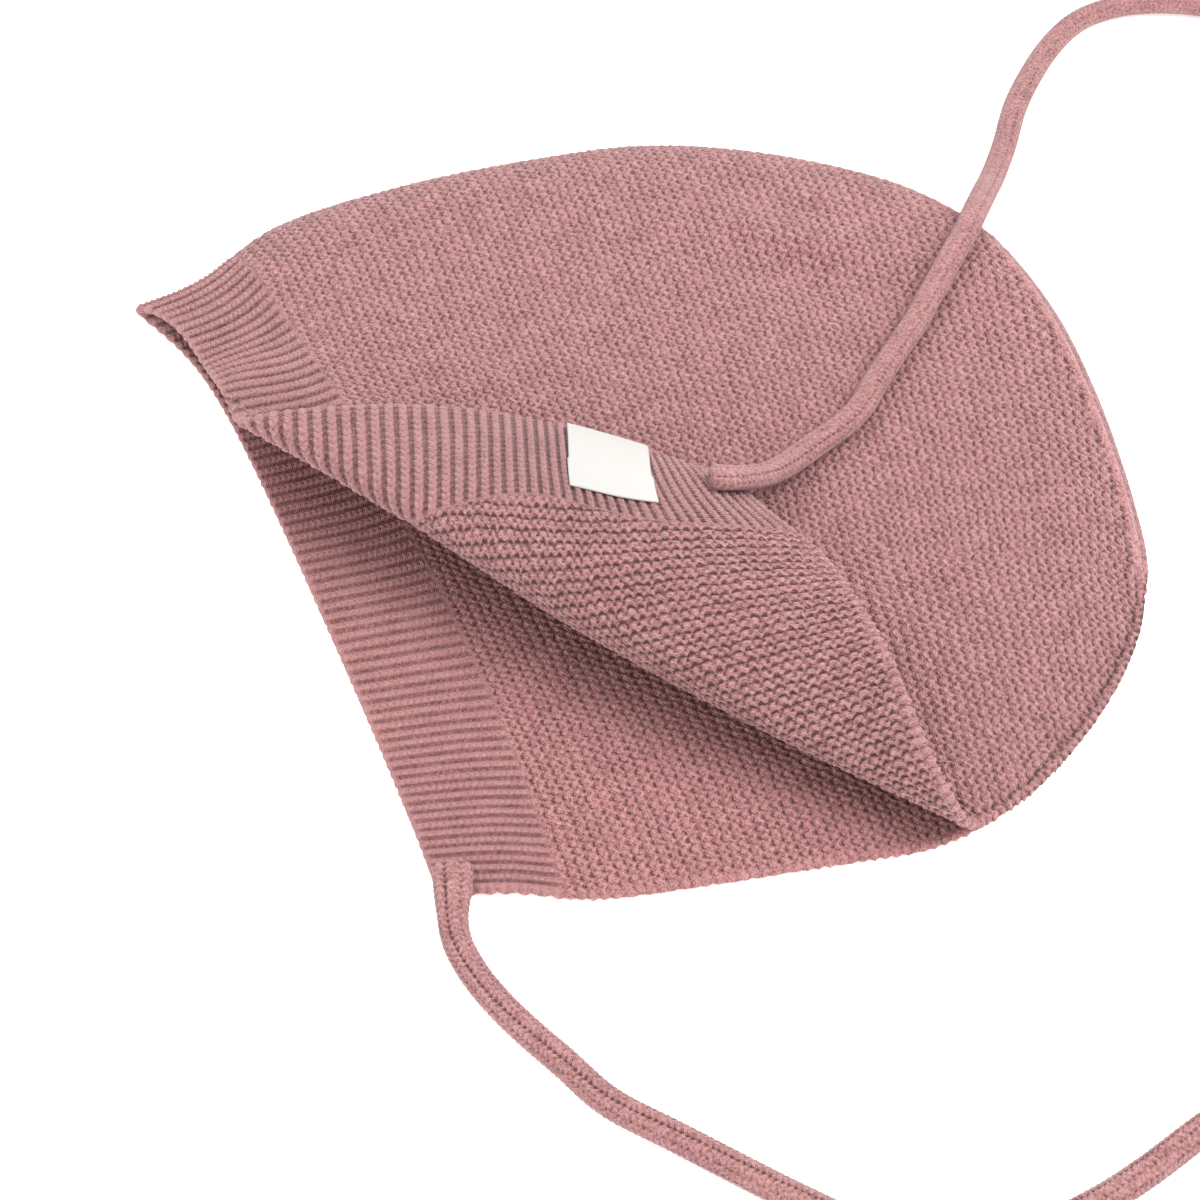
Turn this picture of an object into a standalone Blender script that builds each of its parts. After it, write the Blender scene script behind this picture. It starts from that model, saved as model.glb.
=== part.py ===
"""Baby bonnet in fine knit, lying on its side with the upper front corner turned back.

Sizes are in millimetres and angles in degrees. X runs along the bonnet from the
forehead to the nape, Y from the wearer's neck up to the top of the head, Z is up.
"""
import math

import bpy
import numpy as np

MM = 0.001

# Size of the lying bonnet without its ties, and how far it stands up at the crown
LENGTH = 245.0
DEPTH = 214.0
PUFF = 20.0

# Cloth and band
CLOTH_THICK = 2.0
BAND_WIDTH = 28.0
SEAM_GAP = 0.3
FRONT_BOW = 11.4
BAND_BOW = 8.4
BAND_PINCH = 6.2
PINCH_AT = 0.69
PINCH_REACH = 0.21

# Plan of the top fold and the back seam, from the forehead to the nape
TOP_LINE = (
    # x as a share of LENGTH, y as a share of DEPTH
    (-0.5020, 0.2687),
    (-0.4327, 0.3061),
    (-0.3592, 0.3799),
    (-0.2351, 0.4364),
    (-0.1102, 0.4729),
    (0.0163, 0.4953),
    (0.1429, 0.4822),
    (0.2686, 0.4393),
    (0.3490, 0.3813),
    (0.3931, 0.3224),
    (0.4343, 0.2308),
    (0.4641, 0.1271),
    (0.4833, 0.0280),
    (0.4939, -0.0584),
    (0.4947, -0.1098),
)

# Plan of the neck edge, from the lower front corner to the nape
NECK_LINE = (
    # x as a share of LENGTH, y as a share of DEPTH
    (-0.1714, -0.5000),
    (-0.1029, -0.4967),
    (-0.0278, -0.5037),
    (0.0747, -0.4869),
    (0.1429, -0.4729),
    (0.2122, -0.4589),
    (0.2702, -0.4467),
    (0.3216, -0.4276),
    (0.3690, -0.3888),
    (0.4163, -0.3290),
    (0.4580, -0.2589),
    (0.4849, -0.1930),
    (0.4955, -0.1472),
)

# Middle of the upper half's cloth above the table, as shares of PUFF
UPPER_HEIGHT = (
    # along, at the fold, third, two thirds, at the neck edge
    (0.00, 0.450, 0.925, 0.750, 0.450),
    (0.10, 0.700, 0.925, 0.725, 0.450),
    (0.30, 0.925, 0.860, 0.700, 0.450),
    (0.52, 1.025, 0.900, 0.675, 0.450),
    (0.76, 0.925, 0.825, 0.650, 0.450),
    (1.00, 0.450, 0.450, 0.450, 0.450),
)
HEIGHT_STOPS = (0.0, 0.34, 0.66, 1.0)
FOLD_REACH = 17.0
LOWER_TUCK = 2.6

# The corner that is turned back: where its fold line meets the two edges
ROLL_RADIUS = 8.0
FOLD_AT_FRONT = 0.2844
FOLD_AT_NECK = 0.6264
UPPER_SHIFT_X = -1.9
UPPER_SHIFT_Y = -2.9
LAY_SHEAR = 4.3
SETTLE = 54.0
ROLL_EASE = 0.10
ROLL = (
    # along, base height as a share of PUFF, radius as a share of ROLL_RADIUS,
    # turn, turn at the free edge, stretch
    (0.00, 1.150, 0.450, 174.0, 216.0, 1.17),
    (0.25, 0.950, 0.500, 164.0, 235.0, 1.16),
    (0.50, 0.680, 0.990, 145.0, 233.0, 0.975),
    (0.75, 0.470, 0.775, 149.0, 223.0, 0.99),
    (1.00, 0.470, 0.450, 92.0, 200.0, 1.08),
)

# Grid of the cloth: share of the lines spent on the rounded fold, then lines
# before, in and after the roll
NOSE = 0.22
LINES_BEFORE = 11
LINES_IN_ROLL = 11
LINES_AFTER = 9

# Label folded over the free edge of the turned corner
LABEL_AT = 0.842
LABEL_LONG = 22.0
LABEL_DEEP = 21.5
LABEL_THICK = 0.5
LABEL_GAP = 0.3

# Ties
TIE_WIDE = 6.0
TIE_THICK = 4.2
TIE_STEP = 7.0
TIE_UPPER = (
    # x, y, z
    (18.5, -16.0, 32.6),
    (23.5, -14.8, 30.6),
    (28.2, -11.6, 26.6),
    (33.0, -7.0, 22.0),
    (38.4, -2.0, 19.9),
    (44.3, 3.0, 20.1),
    (50.2, 7.8, 20.4),
    (55.4, 13.6, 20.8),
    (60.1, 22.3, 21.4),
    (65.0, 30.6, 21.9),
    (70.1, 39.2, 22.2),
    (74.1, 47.2, 22.6),
    (78.0, 55.0, 22.9),
    (81.4, 61.8, 23.3),
    (84.6, 68.2, 23.4),
    (87.4, 75.4, 22.0),
    (90.2, 83.6, 18.3),
    (92.8, 92.2, 12.9),
    (95.4, 100.8, 7.2),
    (98.2, 109.6, 3.7),
    (101.2, 119.0, 2.4),
    (105.0, 132.2, 2.3),
    (110.1, 143.9, 2.3),
    (116.3, 155.0, 2.3),
    (123.2, 163.7, 2.3),
    (130.4, 168.8, 2.3),
    (140.0, 172.0, 2.3),
    (152.3, 172.6, 2.3),
    (166.0, 170.6, 2.3),
)
TIE_LOWER = (
    # x, y, z
    (-38.5, -100.4, 4.7),
    (-38.4, -104.6, 4.7),
    (-38.3, -108.8, 4.4),
    (-38.2, -113.2, 3.2),
    (-37.5, -117.6, 2.4),
    (-35.9, -121.8, 2.3),
    (-32.2, -128.1, 2.3),
    (-26.8, -134.8, 2.3),
    (-20.6, -141.1, 2.3),
    (-13.9, -147.3, 2.3),
    (-4.3, -156.3, 2.3),
    (9.8, -164.2, 2.3),
    (23.4, -171.8, 2.3),
    (33.0, -177.0, 2.3),
    (46.5, -183.4, 2.3),
    (62.0, -187.0, 2.3),
    (79.0, -185.2, 2.3),
    (93.4, -178.9, 2.3),
    (105.2, -171.6, 2.3),
    (117.1, -162.9, 2.3),
    (129.5, -154.6, 2.3),
    (143.0, -148.4, 2.3),
    (157.5, -144.6, 2.3),
)


def clear_scene():
    for item in list(bpy.data.objects):
        bpy.data.objects.remove(item, do_unlink=True)


def line_through(rows, steps=400):
    """Smooth curve through the rows, as evenly spaced points."""
    pts = np.array(rows) * (LENGTH, DEPTH)
    full = np.vstack([2 * pts[0] - pts[1], pts, 2 * pts[-1] - pts[-2]])
    out = []
    for i in range(1, len(full) - 2):
        p0, p1, p2, p3 = full[i - 1:i + 3]
        t = np.linspace(0, 1, 40, endpoint=False)[:, None]
        out.append(0.5 * (2 * p1 + (p2 - p0) * t
                          + (2 * p0 - 5 * p1 + 4 * p2 - p3) * t ** 2
                          + (3 * p1 - p0 - 3 * p2 + p3) * t ** 3))
    dense = np.vstack(out + [pts[-1:]])
    run = np.r_[0, np.cumsum(np.linalg.norm(np.diff(dense, axis=0), axis=1))]
    even = np.linspace(0, run[-1], steps)
    return np.c_[np.interp(even, run, dense[:, 0]), np.interp(even, run, dense[:, 1])], run[-1]


def along(line, length, s):
    """Point on an evenly spaced line at the distance s, carried on straight past its ends."""
    even = np.linspace(0, length, len(line))
    x = np.interp(s, even, line[:, 0])
    y = np.interp(s, even, line[:, 1])
    return np.stack([x, y], -1)


def smooth(x):
    x = np.clip(x, 0, 1)
    return x * x * (3 - 2 * x)


def column(rows, key, x):
    """Smooth value of one column of a table at x, with flat ends."""
    xs = np.array([r[0] for r in rows], float)
    ys = np.array([r[key] for r in rows], float)
    slope = np.gradient(ys, xs)
    slope[0] = 0
    slope[-1] = 0
    x = np.clip(x, xs[0], xs[-1])
    k = np.clip(np.searchsorted(xs, x) - 1, 0, len(xs) - 2)
    h = xs[k + 1] - xs[k]
    t = (x - xs[k]) / h
    return ((2 * t ** 3 - 3 * t ** 2 + 1) * ys[k] + (t ** 3 - 2 * t ** 2 + t) * h * slope[k]
            + (3 * t ** 2 - 2 * t ** 3) * ys[k + 1] + (t ** 3 - t ** 2) * h * slope[k + 1])


TOP, TOP_LEN = line_through(TOP_LINE)
NECK, NECK_LEN = line_through(NECK_LINE)


def columns_at(c):
    """Ends of a section: c below 0 is in the band, 0 to 1 is in the crown, in plan."""
    in_band = np.minimum(c, 0) * BAND_WIDTH
    s_top = BAND_WIDTH + in_band + np.clip(c, 0, 1) * (TOP_LEN - BAND_WIDTH)
    s_neck = BAND_WIDTH + in_band + np.clip(c, 0, 1) * (NECK_LEN - BAND_WIDTH)
    return along(TOP, TOP_LEN, s_top), along(NECK, NECK_LEN, s_neck)


def plan_point(c, m, upper=False):
    """Plan position at the fraction m from the top fold to the neck edge."""
    top, neck = columns_at(c)
    span = neck - top
    width = np.linalg.norm(span, axis=-1)
    inward = np.stack([-span[..., 1], span[..., 0]], -1) / width[..., None]
    front = FRONT_BOW * np.clip(1 - m, 0, 1) ** 0.7 * (1 - np.exp(-m / 0.09))
    pinch = BAND_PINCH * smooth(1 - abs(m - PINCH_AT) / PINCH_REACH)
    inner = BAND_BOW * 4 * m * (1 - m) - np.where(upper, pinch, 0)
    in_band = np.clip(-c, 0, 1)
    fade = (1 - 4 * np.clip(c, 0, 0.25))
    bow = front * in_band + inner * (1 - in_band) * fade
    return top + span * m[..., None] + inward * bow[..., None], width


def front_point(share):
    """Plan point on the front edge at a share of its length from the forehead."""
    m = np.linspace(0, 1, 200)
    pts, _ = plan_point(np.full(200, -1.0), m)
    run = np.r_[0, np.cumsum(np.linalg.norm(np.diff(pts, axis=0), axis=1))]
    s = share * run[-1]
    return np.array([np.interp(s, run, pts[:, 0]), np.interp(s, run, pts[:, 1])])


SHIFT = np.array([UPPER_SHIFT_X, UPPER_SHIFT_Y])
FOLD_A = front_point(FOLD_AT_FRONT) + SHIFT
FOLD_C = along(NECK, NECK_LEN, np.array(FOLD_AT_NECK * NECK_LEN)) + SHIFT
FOLD_LEN = float(np.linalg.norm(FOLD_C - FOLD_A))
FOLD_DIR = (FOLD_C - FOLD_A) / FOLD_LEN
FOLD_OUT = np.array([FOLD_DIR[1], -FOLD_DIR[0]])
ROLL_STEPS = 60


def upper_height(c, m):
    pos = np.where(c < 0, 0.10 * (1 + c), 0.10 + 0.90 * np.clip(c, 0, 1))
    cols = np.stack([column(UPPER_HEIGHT, k, pos) for k in (1, 2, 3, 4)], -1)
    stops = np.array(HEIGHT_STOPS)
    k = np.clip(np.searchsorted(stops, m) - 1, 0, 2)
    t = (m - stops[k]) / (stops[k + 1] - stops[k])
    t = t * t * (3 - 2 * t) * 0.5 + t * 0.5
    lo = np.take_along_axis(cols, k[..., None], -1)[..., 0]
    hi = np.take_along_axis(cols, (k + 1)[..., None], -1)[..., 0]
    return (lo + (hi - lo) * t) * PUFF


def turn_back(plan, height):
    """Lay everything past the fold line back over the upper half."""
    r = plan - FOLD_A
    a = r @ FOLD_DIR / FOLD_LEN
    q = r @ FOLD_OUT
    base = column(ROLL, 1, a) * PUFF
    radius = column(ROLL, 2, a) * ROLL_RADIUS
    turn = np.radians(column(ROLL, 3, a))
    turn_end = np.radians(column(ROLL, 4, a))
    past = np.clip(q, 0, None) * column(ROLL, 5, a)
    u = (np.arange(ROLL_STEPS) + 0.5) / ROLL_STEPS
    run = past[..., None] * u
    arc = (radius * turn)[..., None]
    after = turn[..., None] + (turn_end - turn)[..., None] * np.clip((run - arc) / SETTLE, 0, 1.3)
    angle = np.where(run < arc, run / radius[..., None], after)
    out = np.where(q > 0, np.cos(angle).mean(-1) * past, q)
    rise = np.where(q > 0, np.sin(angle).mean(-1) * past, 0)
    slide = LAY_SHEAR * np.clip(past / 80, 0, 1) ** 2
    flat = FOLD_A + (r @ FOLD_DIR + slide)[..., None] * FOLD_DIR + out[..., None] * FOLD_OUT
    near = smooth(-q / 34)
    z = base + (height - base) * near + rise
    inside = smooth(1 + a / ROLL_EASE) * smooth(1 + (1 - a) / ROLL_EASE)
    z = np.where(q > 0, z, height + (z - height) * inside)
    return np.concatenate([flat, z[..., None]], -1)


def flat_place(c, w):
    """Share of the way from the fold to the neck edge, and the plan position there."""
    _, width = plan_point(c, np.zeros_like(w))
    share = np.minimum(FOLD_REACH, 0.6 * width) / width
    v = np.abs(w)
    quarter = np.clip(v / NOSE, 0, 1) * math.pi / 2
    m = np.where(v < NOSE, share * (1 - np.cos(quarter)), share + (1 - share) * (v - NOSE) / (1 - NOSE))
    plan, _ = plan_point(c, m, w > 0)
    return m, plan


def cloth(c, w):
    """Middle of the cloth: w from -1 at the lower neck edge over 0 at the fold to 1."""
    c, w = np.broadcast_arrays(np.asarray(c, float), np.asarray(w, float))
    m, plan = flat_place(c, w)
    rise = np.sin(np.clip(np.abs(w) / NOSE, 0, 1) * math.pi / 2)
    top_z = upper_height(c, m)
    table_z = CLOTH_THICK / 2
    fold_z = 0.5 * (upper_height(c, np.zeros_like(m)) + table_z)
    top, neck = columns_at(c)
    tuck = LOWER_TUCK * smooth((c - 0.45) / 0.15) * m ** 2
    under = plan + (top - neck) / np.linalg.norm(top - neck, axis=-1)[..., None] * tuck[..., None]
    lower = np.concatenate([under, (fold_z + (table_z - fold_z) * rise)[..., None]], -1)
    moved = plan + SHIFT * smooth(m / 0.3)[..., None]
    upper = turn_back(moved, fold_z + (top_z - fold_z) * rise)
    return np.where((w < 0)[..., None], lower, upper)


def cloth_and_face(c, w, step=0.002):
    """Middle of the cloth and the direction towards the wearer's side."""
    c = np.asarray(c, float)
    w = np.asarray(w, float)
    here = cloth(c, w)
    across = cloth(np.minimum(c + step, 1), w) - cloth(np.maximum(c - step, -1), w)
    over = cloth(c, np.minimum(w + step, 1)) - cloth(c, np.maximum(w - step, -1))
    face = np.cross(across, over)
    return here, face / np.linalg.norm(face, axis=-1)[..., None]


def middle_of_cloth():
    """Point on the table under the middle of the bonnet."""
    grid_c, grid_w = np.meshgrid(np.linspace(-1, 1, 161), np.linspace(-1, 1, 161), indexing="ij")
    middle, face = cloth_and_face(grid_c, grid_w)
    pts = np.concatenate([middle + face * CLOTH_THICK / 2, middle - face * CLOTH_THICK / 2]).reshape(-1, 3)
    low = pts.min(axis=0)
    high = pts.max(axis=0)
    return np.array([(low[0] + high[0]) / 2, (low[1] + high[1]) / 2, 0])


MIDDLE = middle_of_cloth()


def material(name, colour, rough):
    mat = bpy.data.materials.new(name)
    mat.use_nodes = True
    shader = mat.node_tree.nodes["Principled BSDF"]
    shader.inputs["Base Color"].default_value = (*colour, 1)
    shader.inputs["Roughness"].default_value = rough
    mat.diffuse_color = (*colour, 1)
    return mat


def add_object(name, data, mat, group):
    obj = bpy.data.objects.new(name, data)
    group.objects.link(obj)
    data.materials.append(mat)
    return obj


def closed_cloth(name, points, thick, mat, group):
    """A grid of middle points as a closed cloth of even thickness."""
    rows, cols = points.shape[:2]
    across = np.gradient(points, axis=0)
    over = np.gradient(points, axis=1)
    face = np.cross(across, over)
    face /= np.linalg.norm(face, axis=-1)[..., None]
    return solid_between(name, points + face * thick / 2, points - face * thick / 2, mat, group)


def solid_between(name, front, back, mat, group):
    """Closed solid between two grids of points that face each other."""
    rows, cols = front.shape[:2]
    count = rows * cols
    verts = np.concatenate([front.reshape(-1, 3), back.reshape(-1, 3)])
    verts = (verts - MIDDLE) * MM
    faces = []
    for i in range(rows - 1):
        for j in range(cols - 1):
            k = i * cols + j
            faces.append((k, k + cols, k + cols + 1, k + 1))
            faces.append((count + k, count + k + 1, count + k + cols + 1, count + k + cols))
    ring = [i * cols for i in range(rows)]
    ring += [(rows - 1) * cols + j for j in range(1, cols)]
    ring += [i * cols + cols - 1 for i in range(rows - 2, -1, -1)]
    ring += list(range(cols - 2, 0, -1))
    for p, q in zip(ring, ring[1:] + ring[:1]):
        faces.append((p, count + p, count + q, q))
    data = bpy.data.meshes.new(name)
    data.from_pydata(verts.tolist(), [], faces)
    data.update()
    return add_object(name, data, mat, group)


def spread(start, stretches):
    """Grid lines over a list of (to, steps) stretches."""
    out = [start]
    for to, steps in stretches:
        out += list(np.linspace(out[-1], to, steps + 1)[1:])
    return np.array(out)


def upper_lines(c):
    """Grid lines of the upper half at c, gathered where the cloth rolls over."""
    w = np.linspace(NOSE, 1, 400)
    _, plan = flat_place(np.full(400, c), w)
    past = (plan + SHIFT - FOLD_A) @ FOLD_OUT
    a = (plan + SHIFT - FOLD_A) @ FOLD_DIR / FOLD_LEN
    arc = column(ROLL, 2, a) * ROLL_RADIUS * np.radians(column(ROLL, 3, a)) / column(ROLL, 5, a)
    start = min(float(np.interp(-1.0, past, w)), 0.86)
    end = min(float(np.interp(1.0, past - arc, w)), 0.94)
    gathered = spread(NOSE, ((start, LINES_BEFORE), (end, LINES_IN_ROLL), (1.0, LINES_AFTER)))
    plain = np.linspace(NOSE, 1, len(gathered))
    share = smooth((0.62 - c) / 0.25)
    return plain + (gathered - plain) * share


def knitted(name, c_lines, mat, group):
    lower = spread(-1.0, ((-NOSE, 6), (NOSE, 10)))
    grid_w = np.array([np.concatenate([lower, upper_lines(c)[1:]]) for c in c_lines])
    grid_c = np.repeat(c_lines[:, None], grid_w.shape[1], axis=1)
    here, face = cloth_and_face(grid_c, grid_w)
    half = face * CLOTH_THICK / 2
    return solid_between(name, here + half, here - half, mat, group)


def folded_label(mat, group):
    """Strip that goes round the free edge, one leaf on each face of the band."""
    off = CLOTH_THICK / 2 + LABEL_GAP + LABEL_THICK / 2
    ends, _ = cloth_and_face(np.full(2, -1.0), np.array([LABEL_AT - 0.05, LABEL_AT + 0.05]))
    reach = 0.05 * LABEL_LONG / np.linalg.norm(ends[1] - ends[0])
    w_lines = np.linspace(LABEL_AT - reach, LABEL_AT + reach, 9)
    deep = np.linspace(LABEL_DEEP / BAND_WIDTH, 0, 8) - 1
    rows = []
    for c in deep:
        here, face = cloth_and_face(np.full(9, c), w_lines)
        rows.append(here + face * off)
    edge, face = cloth_and_face(np.full(9, -1.0), w_lines)
    inner, _ = cloth_and_face(np.full(9, -0.95), w_lines)
    ahead = edge - inner
    ahead -= face * (ahead * face).sum(-1)[:, None]
    ahead /= np.linalg.norm(ahead, axis=-1)[:, None]
    for turn in np.radians((30, 60, 90, 120, 150)):
        rows.append(edge + off * (face * math.cos(turn) + ahead * math.sin(turn)))
    for c in deep[::-1]:
        here, face = cloth_and_face(np.full(9, c), w_lines)
        rows.append(here - face * off)
    return closed_cloth("label", np.array(rows)[::-1], LABEL_THICK, mat, group)


def tie(name, route, mat, group):
    """Flat knitted tube along a smooth line through the route."""
    line = smooth_route(route, TIE_STEP)
    curve = bpy.data.curves.new(name, "CURVE")
    curve.dimensions = "3D"
    curve.twist_mode = "Z_UP"
    curve.bevel_depth = TIE_THICK / 2 * MM
    curve.extrude = (TIE_WIDE - TIE_THICK) / 2 * MM
    curve.bevel_resolution = 2
    curve.use_fill_caps = True
    spline = curve.splines.new("POLY")
    spline.points.add(len(line) - 1)
    for point, place in zip(spline.points, line - MIDDLE):
        point.co = (*(place * MM), 1)
        point.tilt = math.pi / 2
    return add_object(name, curve, mat, group)


def smooth_route(route, step):
    pts = np.array(route, float)
    full = np.vstack([2 * pts[0] - pts[1], pts, 2 * pts[-1] - pts[-2]])
    out = []
    for p0, p1, p2, p3 in zip(full, full[1:], full[2:], full[3:]):
        t = np.linspace(0, 1, 30, endpoint=False)[:, None]
        out.append(0.5 * (2 * p1 + (p2 - p0) * t
                          + (2 * p0 - 5 * p1 + 4 * p2 - p3) * t ** 2
                          + (3 * p1 - p0 - 3 * p2 + p3) * t ** 3))
    dense = np.vstack(out + [pts[-1:]])
    run = np.r_[0, np.cumsum(np.linalg.norm(np.diff(dense, axis=0), axis=1))]
    even = np.linspace(0, run[-1], round(run[-1] / step) + 1)
    return np.stack([np.interp(even, run, dense[:, k]) for k in range(3)], -1)


def main():
    clear_scene()
    group = bpy.data.collections.new("baby_bonnet")
    bpy.context.scene.collection.children.link(group)
    wool = material("wool", (0.50, 0.26, 0.26), 0.9)
    rib = material("rib_wool", (0.48, 0.25, 0.25), 0.9)
    cord = material("tie_wool", (0.50, 0.27, 0.27), 0.9)
    tape = material("white_tape", (0.85, 0.84, 0.82), 0.7)

    # Crown: both halves in one cloth from the band to the nape
    c_lines = spread(0.0005, ((0.52, 20), (0.92, 10), (1.0, 3)))
    knitted("crown", c_lines, wool, group)

    # Front band, the ribbed strip along the face opening
    c_lines = spread(-1.0, ((-SEAM_GAP / BAND_WIDTH, 7),))
    knitted("front_band", c_lines, rib, group)

    folded_label(tape, group)
    tie("tie_upper", TIE_UPPER, cord, group)
    tie("tie_lower", TIE_LOWER, cord, group)


main()
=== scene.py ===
"""Knitted baby bonnet lying on a table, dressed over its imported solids.

Lengths are in millimetres until a mesh is made. X runs from the face opening to the
nape, Y from the neck edge to the top fold, Z is up.
"""
import math

import bpy
import numpy as np
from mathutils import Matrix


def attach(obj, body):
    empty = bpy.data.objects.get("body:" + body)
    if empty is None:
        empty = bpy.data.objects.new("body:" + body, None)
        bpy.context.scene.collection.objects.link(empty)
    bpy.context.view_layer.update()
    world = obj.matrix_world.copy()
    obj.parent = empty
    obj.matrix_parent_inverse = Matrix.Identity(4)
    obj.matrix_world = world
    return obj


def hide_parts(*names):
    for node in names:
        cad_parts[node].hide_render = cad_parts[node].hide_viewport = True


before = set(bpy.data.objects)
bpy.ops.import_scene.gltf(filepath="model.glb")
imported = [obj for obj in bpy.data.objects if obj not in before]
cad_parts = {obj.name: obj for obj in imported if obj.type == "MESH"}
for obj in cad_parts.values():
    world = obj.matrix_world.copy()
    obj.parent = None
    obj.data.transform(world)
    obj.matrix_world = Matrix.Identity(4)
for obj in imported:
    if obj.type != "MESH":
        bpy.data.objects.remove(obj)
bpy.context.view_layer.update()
stage = bpy.context.scene


# ---- The table, the light and the camera ----
# A plain white table top that glows faintly, under an even white sky, with two large
# soft windows overhead, behind the bonnet to its left and to its right, and a faint one
# low at the front that lights the hollow.

TAU = 2 * math.pi
TABLE_REACH = 9.0
TABLE_DROP = 0.0002


class Wire:
    """A socket of a node tree on which plain arithmetic adds the nodes it needs."""

    def __init__(self, tree, socket=None):
        self.tree = tree
        self.socket = socket

    def node(self, kind, settings=None, sockets=None, out=0):
        made = self.tree.nodes.new(kind)
        for key, value in (settings or {}).items():
            if key == "stops":
                ramp = made.color_ramp
                ends = (ramp.elements[0], ramp.elements[-1])
                for stop, (place, colour) in zip(ends, (value[0], value[-1])):
                    stop.position = place
                    stop.color = (*colour, 1)
                for place, colour in value[1:-1]:
                    ramp.elements.new(place).color = (*colour, 1)
            else:
                setattr(made, key, value)
        for key, value in (sockets or {}).items():
            if isinstance(value, Wire):
                self.tree.links.new(value.socket, made.inputs[key])
            else:
                made.inputs[key].default_value = value
        return Wire(self.tree, made.outputs[out])

    def maths(self, operation, *values):
        return self.node("ShaderNodeMath", {"operation": operation}, dict(enumerate((self, *values))))

    def __add__(self, other):
        return self.maths("ADD", other)

    def __sub__(self, other):
        return self.maths("SUBTRACT", other)

    def __rsub__(self, other):
        return self.maths("MULTIPLY", -1.0).maths("ADD", other)

    def __mul__(self, other):
        return self.maths("MULTIPLY", other)

    def __pow__(self, other):
        return self.maths("POWER", other)

    __radd__ = __add__
    __rmul__ = __mul__

    def cos(self):
        """Cosine of a number of turns."""
        return self.maths("MULTIPLY", TAU).maths("COSINE")

    def saw(self):
        """Distance from the nearest whole number, 0 to a half."""
        return self.maths("PINGPONG", 0.5)

    def limit(self, low, high):
        return self.maths("MAXIMUM", low).maths("MINIMUM", high)


def plain_material(name, colour, rough):
    mat = bpy.data.materials.new(name)
    mat.use_nodes = True
    shader = mat.node_tree.nodes["Principled BSDF"]
    shader.inputs["Base Color"].default_value = (*colour, 1)
    shader.inputs["Roughness"].default_value = rough
    mat.diffuse_color = (*colour, 1)
    return mat, shader


def show(name, mesh):
    made = bpy.data.objects.new(name, mesh)
    stage.collection.objects.link(made)
    return made


table_mesh = bpy.data.meshes.new("table_top")
table_mesh.from_pydata([(x * TABLE_REACH, y * TABLE_REACH, -TABLE_DROP)
                        for x, y in ((-1, -1), (1, -1), (1, 1), (-1, 1))], [], [(0, 1, 2, 3)])
table_top = show("table_top", table_mesh)
white_paint, shader = plain_material("white_table", (0.93, 0.93, 0.925), 0.75)
shader.inputs["Emission Color"].default_value = (1.0, 0.995, 0.985, 1)
shader.inputs["Emission Strength"].default_value = 0.45
table_mesh.materials.append(white_paint)

EYE = (-0.0058, -0.3924, 0.5216)
lens = bpy.data.cameras.new("camera")
lens.sensor_width = 36.0
lens.sensor_fit = "HORIZONTAL"
lens.angle = math.radians(25.0)
lens.clip_start = 0.01
camera = show("camera", lens)
camera.location = EYE
camera.rotation_euler = (math.radians(35.0), 0, 0)
stage.camera = camera


def window(name, place, wide, deep, watts, colour):
    """Soft square lamp that looks at the middle of the table."""
    lamp = bpy.data.lights.new(name, "AREA")
    lamp.shape = "RECTANGLE"
    lamp.size = wide
    lamp.size_y = deep
    lamp.energy = watts
    lamp.color = colour
    made = show(name, lamp)
    made.location = place
    flat = math.hypot(place[0], place[1])
    made.rotation_euler = (math.atan2(flat, place[2]), 0, math.atan2(place[1], place[0]) + math.pi / 2)


window("left_window", (-0.55, 0.60, 1.25), 1.2, 1.0, 8.5, (1.0, 0.985, 0.97))
window("right_window", (0.85, 0.10, 1.15), 1.0, 1.0, 17.5, (1.0, 0.99, 0.98))
window("front_window", (-0.45, -0.80, 0.40), 0.9, 0.6, 2.9, (1.0, 0.985, 0.97))
sky = bpy.data.worlds.new("white_room")
sky.use_nodes = True
sky.node_tree.nodes["Background"].inputs["Color"].default_value = (1.0, 0.995, 0.985, 1)
sky.node_tree.nodes["Background"].inputs["Strength"].default_value = 0.82
stage.world = sky
stage.view_settings.view_transform = "Standard"
stage.view_settings.look = "None"


# ---- The ties ----
# Two knitted tubes about 6 mm wide, 267 and 249 mm long, made on few stitches, so the
# stitches stand in columns of small V shapes. The lower one is sewn on flat at its start.

MM = 0.001
BONNET_MIDDLE = (-0.581, -0.392, 0.0)
TIE_WIDE = 6.2
TIE_THICK = 4.2
TIE_COLUMNS = 8
TIE_STITCH = 1.45
TIE_LADDER = 3.5        # number of the groove where the tube was closed
TIE_AROUND = 56
TIE_STEP = 0.40
TIE_RELIEF = 0.32
TIE_END_ROUND = 1.6
TIE_PATCH = 11          # length of the flat patch where a tie is sewn on
TIE_EASE = 80           # length over which the stitches change to their look further on
TIE_UPPER = (
    # x, y, z
    (18.5, -16.0, 32.6), (23.5, -14.8, 30.6), (28.2, -11.6, 26.6), (33.0, -7.0, 22.0), (38.4, -2.0, 19.9),
    (44.3, 3.0, 20.1), (50.2, 7.8, 20.4), (55.4, 13.6, 20.8), (60.1, 22.3, 21.4), (65.0, 30.6, 21.9),
    (70.1, 39.2, 22.2), (74.1, 47.2, 22.6), (78.0, 55.0, 22.9), (81.4, 61.8, 23.3), (84.6, 68.2, 23.4),
    (87.4, 75.4, 22.0), (90.2, 83.6, 18.3), (92.8, 92.2, 12.9), (95.4, 100.8, 7.2), (98.2, 109.6, 3.7),
    (101.2, 119.0, 2.4), (105.0, 132.2, 2.3), (110.1, 143.9, 2.3), (116.3, 155.0, 2.3), (123.2, 163.7, 2.3),
    (130.4, 168.8, 2.3), (140.0, 172.0, 2.3), (152.3, 172.6, 2.3), (166.0, 170.6, 2.3),
)
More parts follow.
